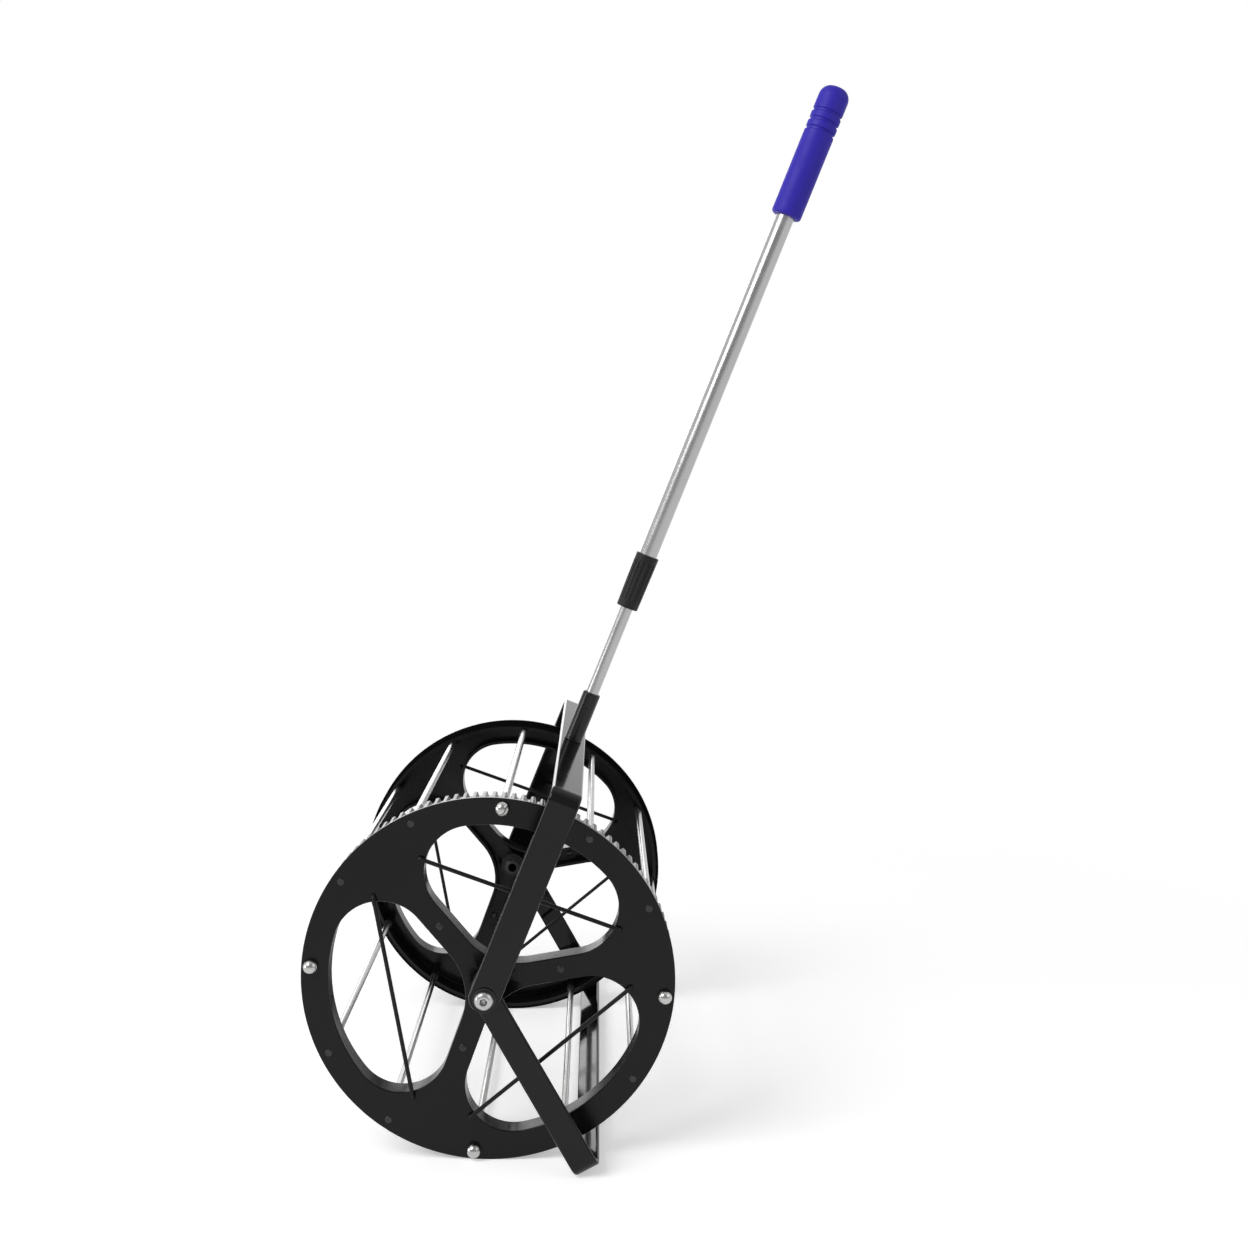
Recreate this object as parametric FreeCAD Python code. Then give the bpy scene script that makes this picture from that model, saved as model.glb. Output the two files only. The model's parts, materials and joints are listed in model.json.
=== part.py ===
"""Tennis ball collector: a rolling drum of rods on a forked telescopic handle.

Two moulded end discs are held apart by twelve steel rods. The gap between two
rods is a little less than a ball, so balls spring in as the drum rolls over them.
The drum turns on two stub bolts in a U-shaped yoke bar. A second U-shaped bar
is the parking stand, and the handle slides and locks with a twist collar.

Lengths are millimetres. The drum's axle lies along Y, +Z is up and the handle
leans towards +X. Everything is built round the drum's centre and moved at the
end, so that the origin is under the middle of the whole object.
"""
import FreeCAD
import Part
import math
import os

# Shared clearances
fit_gap = 0.05            # radial clearance of a pin, tube or rod in its hole
side_gap = 0.2            # clearance beside a face that slides on another
overrun = 2.0             # how far a cutting tool passes the face it cuts

# End discs
drum_radius = 140.0       # smooth front edge of the discs
drum_length = 320.0       # outer face to outer face
tooth_count = 120
tooth_depth = 3.0
tread_drop = 0.3          # teeth's tips under the smooth front edge
tooth_tip_share = 0.36    # of the tooth pitch
tooth_root_share = 0.36   # of the tooth pitch
rim_wall = 2.6            # under the teeth
rim_width = 22.0
plate_wall = 3.0
ring_width = 20.5         # front face between an opening and the smooth edge
spoke_width = 18.0
spoke_angle = 10.3        # first spoke, degrees from +X towards +Z
spoke_count = 3
corner_share = 0.3        # of the opening's radius, where a spoke flares into the ring
inner_end_radius = 50.0   # round inner end of an opening
flange_wall = 2.4         # upright edge round each opening
flange_depth = 16.0
edge_bevel = 0.8          # broken front edge of each opening

# Rods of the drum
rod_count = 12
rod_edge_gap = 4.5        # from a tie rod's side to the disc's smooth edge
rod_offset_angle = 15.0   # from a spoke to the first rod, degrees
tie_rod_step = 3          # every third rod is a tie rod
spring_rod_diameter = 5.5
rod_end_stand = 0.5       # a sprung rod's end stands this far out of the face
tie_rod_diameter = 6.0
tie_thread_diameter = 5.0
rod_boss_wall = 1.0

# Dome nuts on the tie rods
dome_nut_diameter = 11.0
dome_nut_skirt = 2.0
dome_nut_height = 7.0
dome_nut_flat = 1.0       # radius of the flat crown
dome_nut_bore_depth = 5.0

# Guard wires across the openings
guard_wire_diameter = 3.2
guard_wire_angle = 12.1   # of its ends from the spokes beside it, degrees
guard_wire_landing = 7.5  # from the opening's corner to its ends
guard_wire_bend = 2.2     # radius on the centre line, and the run's height off the disc
guard_wire_tail = 4.0     # straight end behind the disc's plate

# Hub plates, riveted inside the spokes
hub_bore_wall = 5.0       # round the bush
hub_outreach = 23.5       # beyond the disc's outer face
hub_depth = 14.0          # inwards from the disc's outer face
hub_plate_wall = 2.0
hub_arm_width = 12.0
hub_arm_reach = 62.0
rivet_inset = 7.0         # from the end of a hub arm to its rivet
rivet_shank_diameter = 3.2
rivet_head_diameter = 6.0
rivet_head_height = 1.3
rivet_head_flat = 0.8     # radius of the flat crown

# Axle bushes, bolts, nuts and washers
bolt_diameter = 8.0
bush_wall = 2.0
bush_flange_diameter = 19.0
bush_flange_wall = 1.5
bolt_head_diameter = 14.0
bolt_head_height = 5.5
bolt_head_edge = 1.6      # upright edge below the dome
bolt_head_flat = 4.0      # radius of the flat crown
bolt_socket_across = 5.0
bolt_socket_depth = 2.6
thrust_washer_diameter = 18.0
thrust_washer_wall = 1.0
bolt_washer_diameter = 17.0
bolt_washer_wall = 1.6
lock_nut_across = 13.0
lock_nut_height = 6.0
lock_nut_collar = 2.0
lock_nut_collar_diameter = 12.0
bolt_tip_length = 2.0     # bolt showing past its nut

# Stand bar
stand_width = 20.0
stand_wall = 4.0
stand_overhang = 15.0     # crossbar's outer face beyond the drum
stand_bend = 9.0          # outside radius of its two bends

# Yoke bar
yoke_width = 23.0
yoke_wall = 4.0
yoke_headroom = 19.0      # from the drum to the top bar's inner face
yoke_bend = 10.0          # outside radius of its two bends
lean_angle = 21.5         # handle from upright towards +X, degrees

# Handle socket and its fixings
socket_diameter = 15.0
socket_length = 44.0
socket_floor = 10.0
socket_screw_diameter = 5.0
socket_screw_grip = 7.0   # length of screw inside the socket's floor
socket_screw_head_diameter = 9.5
socket_screw_head_height = 2.8
socket_pin_diameter = 3.0
socket_pin_drop = 12.0    # below the socket's mouth

# Handle tubes
lower_tube_diameter = 10.5
lower_tube_wall = 1.0
lower_tube_shown = 78.0   # bare length between socket and collar
upper_tube_diameter = 15.0
upper_tube_wall = 1.0
upper_tube_shown = 297.0  # bare length between collar and grip
travel_down = 60.0        # the upper tube can drop this far from here
guide_head_height = 12.0
guide_stub_length = 15.0
guide_top_clearance = 10.0

# Twist lock
collar_length = 47.0
collar_top_diameter = 19.4
collar_bottom_diameter = 18.2
collar_lip = 3.0          # inward lip at the collar's lower end
collar_overlap = 8.0      # collar over the upper tube's end
collar_flute_count = 14
collar_flute_radius = 1.3
collar_flute_depth = 0.5
collar_flute_inset = 6.0  # plain band at each end
collar_gap = 0.35         # between the collar and what turns inside it
collet_sleeve_length = 25.0
collet_taper_length = 12.0
collet_tip_wall = 1.0
collet_slot_count = 3
collet_slot_width = 1.5
collet_slot_inset = 8.0   # from the upper tube's end to the slots' ends

# Grip
grip_diameter = 25.0
grip_length = 108.0
grip_barrel_length = 68.0 # plain part, below the rings
grip_lower_bevel = 2.0
grip_ring_count = 3
grip_ring_width = 2.6
grip_ring_pitch = 7.6
grip_ring_depth = 1.2
grip_dome_rise = 9.0
grip_dome_flat = 2.5      # radius of the flat crown

# Places worked out from the sizes above
half_length = drum_length / 2
tip_radius = drum_radius - tread_drop
root_radius = tip_radius - tooth_depth
pocket_radius = root_radius - rim_wall
plate_inner = half_length - plate_wall
opening_radius = drum_radius - ring_width
corner_radius = opening_radius * corner_share
rod_circle_radius = drum_radius - rod_edge_gap - tie_rod_diameter / 2
bush_radius = bolt_diameter / 2 + fit_gap + bush_wall
hub_radius = bush_radius + fit_gap + hub_bore_wall
hub_outer_end = half_length + hub_outreach
hub_inner_end = half_length - hub_depth
rivet_circle_radius = hub_arm_reach - rivet_inset
rod_boss_radius = tie_rod_diameter / 2 + fit_gap + rod_boss_wall
rim_inner = half_length - rim_width

bush_flange_end = hub_outer_end + bush_flange_wall
stand_inner = bush_flange_end + thrust_washer_wall + 2 * side_gap
stand_outer = stand_inner + stand_wall
yoke_inner = stand_outer + side_gap + thrust_washer_wall
yoke_outer = yoke_inner + yoke_wall
bolt_seat = yoke_outer + bolt_washer_wall
nut_washer_start = hub_inner_end - side_gap - bolt_washer_wall
nut_start = nut_washer_start - lock_nut_height
bolt_tip = nut_start - bolt_tip_length

stand_reach = drum_radius + stand_overhang
yoke_reach = drum_radius + yoke_headroom
foot_diagonal = math.hypot(stand_reach, stand_width / 2)
stand_swing = math.degrees(math.acos(drum_radius / foot_diagonal)
                           + math.atan2(stand_width / 2, stand_reach))

socket_start = yoke_reach + yoke_wall
socket_end = socket_start + socket_length
lower_tube_start = socket_start + socket_floor
collar_start = socket_end + lower_tube_shown
collar_end = collar_start + collar_length
upper_tube_start = collar_end - collar_overlap
grip_start = collar_end + upper_tube_shown
grip_end = grip_start + grip_length
upper_tube_end = grip_end - grip_dome_rise - fit_gap
guide_top = upper_tube_end - travel_down - guide_top_clearance
lower_tube_end = guide_top - guide_head_height
lower_tube_bore = lower_tube_diameter / 2 - lower_tube_wall
upper_tube_bore = upper_tube_diameter / 2 - upper_tube_wall

drum_axis = FreeCAD.Vector(0, 1, 0)
upright = FreeCAD.Vector(0, 0, 1)
centre = FreeCAD.Vector(0, 0, 0)


def point_on_disc(radius, angle, y=0):
    """Point at a radius and an angle from +X towards +Z, at one Y."""
    turn = math.radians(angle)
    return FreeCAD.Vector(radius * math.cos(turn), y, radius * math.sin(turn))


def turned(shape, angle):
    """Shape turned about the axle, from +X towards +Z."""
    copy = shape.copy()
    copy.rotate(centre, drum_axis, -angle)
    return copy


def mirrored(shape):
    """The same shape at the other end of the drum."""
    return shape.mirror(centre, drum_axis)


def cylinder_y(radius, start, end, place=centre):
    """Cylinder along Y from start to end, its axis through a place."""
    base = FreeCAD.Vector(place.x, start, place.z)
    return Part.makeCylinder(radius, end - start, base, drum_axis)


def cylinder_z(radius, start, end):
    """Cylinder along Z about the Z axis."""
    base = FreeCAD.Vector(0, 0, start)
    return Part.makeCylinder(radius, end - start, base)


def ring_y(outer, inner, start, end):
    """Plain washer about the axle."""
    body = cylinder_y(outer, start, end)
    return body.cut(cylinder_y(inner, start - overrun, end + overrun))


def tube_z(outer, inner, start, end):
    """Plain tube about the Z axis."""
    body = cylinder_z(outer, start, end)
    return body.cut(cylinder_z(inner, start - overrun, end + overrun))


def spun(edges, axis):
    """Solid from a closed outline turned once round an axis."""
    face = Part.Face(Part.Wire(edges))
    return face.revolve(centre, axis, 360)


def path_edges(points):
    """Straight edges through a closed row of points."""
    closed = points + points[:1]
    pairs = zip(closed[:-1], closed[1:])
    return [Part.LineSegment(a, b).toShape() for a, b in pairs]


def arc_edge(start, middle, end):
    """Circular edge through three points."""
    return Part.Arc(start, middle, end).toShape()


def dome_edges(axis, radius, edge, top, flat):
    """Quarter-round edge from a rim up to a small flat crown on an axis.

    The rim has a radius and a height along the axis, the crown the top's height.
    """
    slant = math.pi / 4
    side = FreeCAD.Vector(1, 0, 0)
    rim = side * radius + axis * edge
    middle = side * (flat + (radius - flat) * math.cos(slant))
    middle = middle + axis * (edge + (top - edge) * math.sin(slant))
    crown_edge = side * flat + axis * top
    return [arc_edge(rim, middle, crown_edge),
            Part.LineSegment(crown_edge, axis * top).toShape()]


def hexagon_y(across, start, end):
    """Hexagonal prism about the axle, flats a given distance apart."""
    corner = across / math.sqrt(3)
    points = [point_on_disc(corner, 60 * k, start) for k in range(6)]
    face = Part.Face(Part.Wire(path_edges(points)))
    return face.extrude(drum_axis * (end - start))


def compound(solids):
    """Separate solids kept as one group."""
    return Part.makeCompound(solids)


# End discs

def toothed_blank():
    """Smooth front plate with a toothed tread behind it."""
    pitch = 360 / tooth_count
    tip = pitch * tooth_tip_share / 2
    root = pitch * (1 - tooth_root_share) / 2
    points = []
    for k in range(tooth_count):
        middle = spoke_angle + k * pitch
        points.append(point_on_disc(root_radius, middle - root, plate_inner))
        points.append(point_on_disc(tip_radius, middle - tip, plate_inner))
        points.append(point_on_disc(tip_radius, middle + tip, plate_inner))
        points.append(point_on_disc(root_radius, middle + root, plate_inner))
    face = Part.Face(Part.Wire(path_edges(points)))
    tread = face.extrude(drum_axis * (plate_wall - rim_width))
    return tread.fuse(cylinder_y(drum_radius, plate_inner, half_length))


def plain_blank():
    """Smooth front plate with a plain tread behind it."""
    tread = cylinder_y(tip_radius, rim_inner, plate_inner)
    return tread.fuse(cylinder_y(drum_radius, plate_inner, half_length))


def spoke_directions():
    """Along the spoke above the opening that lies along +X, and square to it, inwards."""
    half_turn = math.pi / spoke_count
    along = FreeCAD.Vector(math.cos(half_turn), 0, math.sin(half_turn))
    inward = FreeCAD.Vector(math.sin(half_turn), 0, -math.cos(half_turn))
    return along, inward


def opening_corner():
    """Centre of the corner arc between that spoke and the ring."""
    along, inward = spoke_directions()
    off = spoke_width / 2 + corner_radius
    far = opening_radius - corner_radius
    return along * math.sqrt(far ** 2 - off ** 2) + inward * off


def opening_outline(grow, y):
    """Closed wire of the opening whose middle lies along +X.

    Two spoke edges, square to unit normals at 60 degrees, are joined by a round
    inner end, two corner arcs and the ring's arc. The outline grows outwards by
    an even distance.
    """
    half_spoke = spoke_width / 2
    along, inward = spoke_directions()
    lift = FreeCAD.Vector(0, y, 0)

    inner_centre = FreeCAD.Vector((half_spoke + inner_end_radius) / inward.x, 0, 0)
    corner_centre = opening_corner()
    outward = corner_centre * (1 / corner_centre.Length)

    inner_r = inner_end_radius + grow
    corner_r = corner_radius + grow
    ring_r = opening_radius + grow
    inner_mid = inner_centre - FreeCAD.Vector(inner_r, 0, 0)
    side_start = inner_centre - inward * inner_r
    side_end = corner_centre - inward * corner_r
    bisector = outward - inward
    bisector.normalize()
    corner_mid = corner_centre + bisector * corner_r
    corner_end = corner_centre + outward * corner_r
    ring_mid = FreeCAD.Vector(ring_r, 0, 0)

    def below(point):
        return FreeCAD.Vector(point.x, y, -point.z)

    edges = [
        arc_edge(below(side_start), inner_mid + lift, side_start + lift),
        Part.LineSegment(side_start + lift, side_end + lift).toShape(),
        arc_edge(side_end + lift, corner_mid + lift, corner_end + lift),
        arc_edge(corner_end + lift, ring_mid + lift, below(corner_end)),
        arc_edge(below(corner_end), below(corner_mid), below(side_end)),
        Part.LineSegment(below(side_end), below(side_start)).toShape(),
    ]
    return Part.Wire(edges)


def opening_prism(grow, start, end):
    """Opening's outline carried straight from one Y to another."""
    face = Part.Face(opening_outline(grow, start))
    return face.extrude(drum_axis * (end - start))


def opening_tool():
    """What an opening takes out of the disc, with its bevelled front edge."""
    inner = half_length - flange_depth - overrun
    straight = opening_prism(0, inner, half_length + overrun)
    wide = opening_outline(edge_bevel, half_length)
    narrow = opening_outline(0, half_length - edge_bevel)
    bevel = Part.makeLoft([narrow, wide], True, True)
    return straight.fuse(bevel)


def opening_angles():
    """Middle directions of the openings."""
    step = 360 / spoke_count
    return [spoke_angle + step * (k + 0.5) for k in range(spoke_count)]


def rod_angles(tie):
    """Angles of the tie rods, or of all the others."""
    step = 360 / rod_count
    first = spoke_angle + rod_offset_angle
    chosen = [k for k in range(rod_count) if (k % tie_rod_step == tie_rod_step - 1) == tie]
    return [first + step * k for k in chosen]


def guard_wire_ends():
    """Both ends of the wire that crosses the opening along +X, at Y 0.

    An end lies on a line from the axle, past the point where the line leaves the
    opening through its corner arc.
    """
    corner = opening_corner()
    line = point_on_disc(1, 180 / spoke_count - guard_wire_angle)
    nearest = corner.dot(line)
    aside = corner.Length ** 2 - nearest ** 2
    end = line * (nearest + math.sqrt(corner_radius ** 2 - aside) + guard_wire_landing)
    return [FreeCAD.Vector(end.x, 0, -end.z), end]


def disc(blank):
    """An end disc cut from its blank, with its outer face towards +Y.

    The rods' bosses are as deep as the rim, so that a rod meets the disc level with
    the rim's edge.
    """
    shell = blank.cut(cylinder_y(pocket_radius, rim_inner - overrun, plate_inner))
    flange = opening_prism(flange_wall, half_length - flange_depth, plate_inner)
    added = [turned(flange, angle) for angle in opening_angles()]
    for angle in rod_angles(True) + rod_angles(False):
        place = point_on_disc(rod_circle_radius, angle)
        added.append(cylinder_y(rod_boss_radius, rim_inner, plate_inner, place))
    shell = shell.fuse(added)

    holes = [turned(opening_tool(), angle) for angle in opening_angles()]
    holes.append(cylinder_y(hub_radius + fit_gap, plate_inner - overrun, half_length + overrun))
    for angle in rod_angles(False):
        holes.append(rod_hole(spring_rod_diameter, angle))
    for angle in rod_angles(True):
        holes.append(rod_hole(tie_thread_diameter, angle))
    for angle in spoke_angles():
        place = point_on_disc(rivet_circle_radius, angle)
        radius = rivet_shank_diameter / 2 + fit_gap
        holes.append(cylinder_y(radius, plate_inner - overrun, half_length + overrun, place))
    for angle in opening_angles():
        for end in guard_wire_ends():
            radius = guard_wire_diameter / 2 + fit_gap
            depth = plate_inner - guard_wire_tail - overrun
            hole = cylinder_y(radius, depth, half_length + overrun, end)
            holes.append(turned(hole, angle))
    return shell.cut(holes).removeSplitter()


def rod_hole(diameter, angle):
    """Hole for one rod, right through the disc and its boss."""
    place = point_on_disc(rod_circle_radius, angle)
    return cylinder_y(diameter / 2 + fit_gap, rim_inner - overrun,
                      half_length + overrun, place)


def spoke_angles():
    """Directions of the spokes."""
    return [spoke_angle + 360 / spoke_count * k for k in range(spoke_count)]


# Rods, nuts and guard wires

def spring_rods():
    """Sprung rods, held at both ends in the discs' bosses."""
    end = half_length + rod_end_stand
    places = [point_on_disc(rod_circle_radius, a) for a in rod_angles(False)]
    return compound([cylinder_y(spring_rod_diameter / 2, -end, end, p) for p in places])


def tie_rods():
    """Rods with shoulders inside the discs and thinner threaded ends."""
    solids = []
    for angle in rod_angles(True):
        place = point_on_disc(rod_circle_radius, angle)
        tip = half_length + dome_nut_bore_depth - side_gap
        middle = cylinder_y(tie_rod_diameter / 2, -rim_inner, rim_inner, place)
        ends = cylinder_y(tie_thread_diameter / 2, -tip, tip, place)
        solids.append(middle.fuse(ends).removeSplitter())
    return compound(solids)


def dome_nut():
    """Round-topped nut on the axle, seated on the outer face."""
    radius = dome_nut_diameter / 2
    skirt = half_length + dome_nut_skirt
    top = half_length + dome_nut_height
    seat = FreeCAD.Vector(0, half_length, 0)
    outer = FreeCAD.Vector(radius, half_length, 0)
    edge = FreeCAD.Vector(radius, skirt, 0)
    edges = [
        Part.LineSegment(seat, outer).toShape(),
        Part.LineSegment(outer, edge).toShape(),
        *dome_edges(drum_axis, radius, skirt, top, dome_nut_flat),
        Part.LineSegment(drum_axis * top, seat).toShape(),
    ]
    bore = cylinder_y(tie_thread_diameter / 2 + fit_gap, half_length - overrun,
                      half_length + dome_nut_bore_depth)
    return spun(edges, drum_axis).cut(bore)


def tie_rod_nuts():
    """A dome nut at each end of each tie rod."""
    nut = dome_nut()
    solids = []
    for angle in rod_angles(True):
        outer = nut.copy()
        outer.translate(point_on_disc(rod_circle_radius, angle))
        solids.append(outer)
        solids.append(mirrored(outer))
    return compound(solids)


def guard_wire():
    """Wire across the opening along +X, its bent ends through the plate."""
    radius = guard_wire_diameter / 2
    low, high = guard_wire_ends()
    front = half_length + guard_wire_bend
    back = plate_inner - guard_wire_tail
    bend = guard_wire_bend
    corner = bend * (1 - math.sin(math.pi / 4))

    def at(z, y):
        return FreeCAD.Vector(high.x, y, z)

    edges = [
        Part.LineSegment(at(low.z, back), at(low.z, front - bend)).toShape(),
        arc_edge(at(low.z, front - bend), at(low.z + corner, front - corner),
                 at(low.z + bend, front)),
        Part.LineSegment(at(low.z + bend, front), at(high.z - bend, front)).toShape(),
        arc_edge(at(high.z - bend, front), at(high.z - corner, front - corner),
                 at(high.z, front - bend)),
        Part.LineSegment(at(high.z, front - bend), at(high.z, back)).toShape(),
    ]
    circle = Part.makeCircle(radius, at(low.z, back), drum_axis)
    return Part.Wire(edges).makePipeShell([Part.Wire([circle])], True, False)


def guard_wires():
    """The three wires of one disc."""
    wire = guard_wire()
    return compound([turned(wire, angle) for angle in opening_angles()])


# Hubs and axle hardware

def hub():
    """Turned hub with a three-armed plate that lies inside the spokes."""
    plate_end = plate_inner - hub_plate_wall
    body = cylinder_y(hub_radius, hub_inner_end, hub_outer_end)
    half = hub_arm_width / 2
    reach = hub_arm_reach - half
    arms = []
    for angle in spoke_angles():
        base = FreeCAD.Vector(0, plate_end, -half)
        bar = Part.makeBox(reach, hub_plate_wall, hub_arm_width, base)
        tip = cylinder_y(half, plate_end, plate_inner, FreeCAD.Vector(reach, 0, 0))
        arms.append(turned(bar.fuse(tip), angle))
    body = body.fuse(arms)
    holes = [cylinder_y(bush_radius + fit_gap, hub_inner_end - overrun, hub_outer_end + overrun)]
    for angle in spoke_angles():
        place = point_on_disc(rivet_circle_radius, angle)
        radius = rivet_shank_diameter / 2 + fit_gap
        holes.append(cylinder_y(radius, plate_end - overrun, plate_inner + overrun, place))
    return body.cut(holes).removeSplitter()


def rivet():
    """Domed rivet through the spoke and the hub plate, on the axle."""
    inner = plate_inner - hub_plate_wall
    shank = cylinder_y(rivet_shank_diameter / 2, inner, half_length)
    return shank.fuse([rivet_head(half_length, 1), rivet_head(inner, -1)]).removeSplitter()


def rivet_head(seat, way):
    """Round head that rises from a seat, outwards or inwards."""
    radius = rivet_head_diameter / 2
    base = FreeCAD.Vector(0, seat, 0)
    edge = FreeCAD.Vector(radius, seat, 0)
    top = seat + way * rivet_head_height
    edges = [
        Part.LineSegment(base, edge).toShape(),
        *dome_edges(drum_axis, radius, seat, top, rivet_head_flat),
        Part.LineSegment(drum_axis * top, base).toShape(),
    ]
    return spun(edges, drum_axis)


def hub_rivets():
    """Three rivets at each disc."""
    solids = []
    for angle in spoke_angles():
        outer = rivet()
        outer.translate(point_on_disc(rivet_circle_radius, angle))
        solids.append(outer)
        solids.append(mirrored(outer))
    return compound(solids)


def axle_bush():
    """Flanged plastic bush in the hub."""
    bore = bolt_diameter / 2 + fit_gap
    sleeve = cylinder_y(bush_radius, hub_inner_end, hub_outer_end)
    flange = cylinder_y(bush_flange_diameter / 2, hub_outer_end, bush_flange_end)
    hole = cylinder_y(bore, hub_inner_end - overrun, bush_flange_end + overrun)
    return sleeve.fuse(flange).cut(hole).removeSplitter()


def axle_bolt():
    """Button-head bolt that holds the yoke, the stand and the drum's end."""
    radius = bolt_head_diameter / 2
    edge_top = bolt_seat + bolt_head_edge
    top = bolt_seat + bolt_head_height
    seat = FreeCAD.Vector(0, bolt_seat, 0)
    rim = FreeCAD.Vector(radius, bolt_seat, 0)
    edge = FreeCAD.Vector(radius, edge_top, 0)
    edges = [
        Part.LineSegment(seat, rim).toShape(),
        Part.LineSegment(rim, edge).toShape(),
        *dome_edges(drum_axis, radius, edge_top, top, bolt_head_flat),
        Part.LineSegment(drum_axis * top, seat).toShape(),
    ]
    head = spun(edges, drum_axis)
    shank = cylinder_y(bolt_diameter / 2, bolt_tip, bolt_seat)
    recess = hexagon_y(bolt_socket_across, top - bolt_socket_depth, top + overrun)
    return head.fuse(shank).cut(recess).removeSplitter()


def lock_nut():
    """Hexagon nut with a round locking collar, inside the drum."""
    across = hexagon_y(lock_nut_across, nut_start + lock_nut_collar, nut_washer_start)
    collar = cylinder_y(lock_nut_collar_diameter / 2, nut_start, nut_start + lock_nut_collar)
    hole = cylinder_y(bolt_diameter / 2 + fit_gap, nut_start - overrun,
                      nut_washer_start + overrun)
    return across.fuse(collar).cut(hole).removeSplitter()


def pivot_washers():
    """Four washers on each bolt: two beside the stand and one at each end."""
    bore = bolt_diameter / 2 + fit_gap
    thrust = thrust_washer_diameter / 2
    plain = bolt_washer_diameter / 2
    first = bush_flange_end + side_gap
    second = stand_outer + side_gap
    solids = [
        ring_y(thrust, bore, first, first + thrust_washer_wall),
        ring_y(thrust, bore, second, second + thrust_washer_wall),
        ring_y(plain, bore, yoke_outer, bolt_seat),
        ring_y(plain, bore, nut_washer_start, nut_washer_start + bolt_washer_wall),
    ]
    return compound(solids + [mirrored(s) for s in solids])


# Bent bars

def bent_bar(width, wall, reach, span, bend):
    """Flat bar bent to a U, standing on the axle with its top bar at the reach.

    The reach is to the top bar's outer face and the span is half the distance
    between the legs' outer faces. The legs' ends are round about the axle.
    """
    end = width / 2
    inner_bend = bend - wall
    outer = u_outline(span, reach, bend, end)
    inner = u_outline(span - wall, reach - wall, inner_bend, end + overrun)
    bar = outer.cut(inner)
    bar = bar.extrude(FreeCAD.Vector(width, 0, 0))
    bar.translate(FreeCAD.Vector(-end, 0, 0))
    window = Part.makeBox(width, 2 * (span + overrun), reach + overrun,
                          FreeCAD.Vector(-end, -span - overrun, 0))
    ends = cylinder_y(end, -span - overrun, span + overrun)
    bar = bar.common(window.fuse(ends))
    hole = cylinder_y(bolt_diameter / 2 + fit_gap, -span - overrun, span + overrun)
    return bar.cut(hole).removeSplitter()


def u_outline(span, reach, bend, drop):
    """Face under an arch with round corners, in the plane of the axle."""
    def at(y, z):
        return FreeCAD.Vector(0, y, z)

    corner = bend * (1 - math.sin(math.pi / 4))
    edges = [
        Part.LineSegment(at(-span, -drop), at(-span, reach - bend)).toShape(),
        arc_edge(at(-span, reach - bend), at(corner - span, reach - corner),
                 at(bend - span, reach)),
        Part.LineSegment(at(bend - span, reach), at(span - bend, reach)).toShape(),
        arc_edge(at(span - bend, reach), at(span - corner, reach - corner),
                 at(span, reach - bend)),
        Part.LineSegment(at(span, reach - bend), at(span, -drop)).toShape(),
        Part.LineSegment(at(span, -drop), at(-span, -drop)).toShape(),
    ]
    return Part.Face(Part.Wire(edges))


def yoke_bar():
    """Upright yoke with the hole for the socket's screw."""
    bar = bent_bar(yoke_width, yoke_wall, yoke_reach + yoke_wall, yoke_outer, yoke_bend)
    hole = cylinder_z(socket_screw_diameter / 2 + fit_gap, yoke_reach - overrun,
                      socket_start + overrun)
    return bar.cut(hole)


def stand_bar():
    """Upright stand, turned later to the ground."""
    return bent_bar(stand_width, stand_wall, stand_reach, stand_outer, stand_bend)


# Handle, built upright

def cross_hole(diameter, height, half):
    """Hole along Y through the handle."""
    place = FreeCAD.Vector(0, 0, height)
    return cylinder_y(diameter / 2 + fit_gap, -half - overrun, half + overrun, place)


def handle_socket():
    """Closed socket that the lower tube is pinned into."""
    radius = socket_diameter / 2
    body = cylinder_z(radius, socket_start, socket_end)
    bore = cylinder_z(lower_tube_diameter / 2 + fit_gap, lower_tube_start,
                      socket_end + overrun)
    screw = cylinder_z(socket_screw_diameter / 2 + fit_gap, socket_start - overrun,
                       socket_start + socket_screw_grip + side_gap)
    pin = cross_hole(socket_pin_diameter, socket_end - socket_pin_drop, radius)
    return body.cut([bore, screw, pin])


def socket_screw():
    """Screw through the yoke bar into the socket's floor."""
    head = cylinder_z(socket_screw_head_diameter / 2,
                      yoke_reach - socket_screw_head_height, yoke_reach)
    shank = cylinder_z(socket_screw_diameter / 2, yoke_reach,
                       socket_start + socket_screw_grip)
    return head.fuse(shank).removeSplitter()


def socket_pin():
    """Cross pin that holds the lower tube in the socket."""
    half = socket_diameter / 2 + side_gap
    place = FreeCAD.Vector(0, 0, socket_end - socket_pin_drop)
    return cylinder_y(socket_pin_diameter / 2, -half, half, place)


def lower_tube():
    """Inner steel tube of the telescope."""
    body = tube_z(lower_tube_diameter / 2, lower_tube_bore, lower_tube_start, lower_tube_end)
    return body.cut(cross_hole(socket_pin_diameter, socket_end - socket_pin_drop,
                               lower_tube_diameter / 2))


def tube_guide():
    """Plastic plug that guides the lower tube's top inside the upper tube."""
    head = cylinder_z(upper_tube_bore - fit_gap, lower_tube_end, guide_top)
    stub = cylinder_z(lower_tube_bore - fit_gap, lower_tube_end - guide_stub_length,
                      lower_tube_end)
    return head.fuse(stub).removeSplitter()


def upper_tube():
    """Outer tube of the telescope, up to the dome inside the grip."""
    return tube_z(upper_tube_diameter / 2, upper_tube_bore, upper_tube_start, upper_tube_end)


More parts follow.
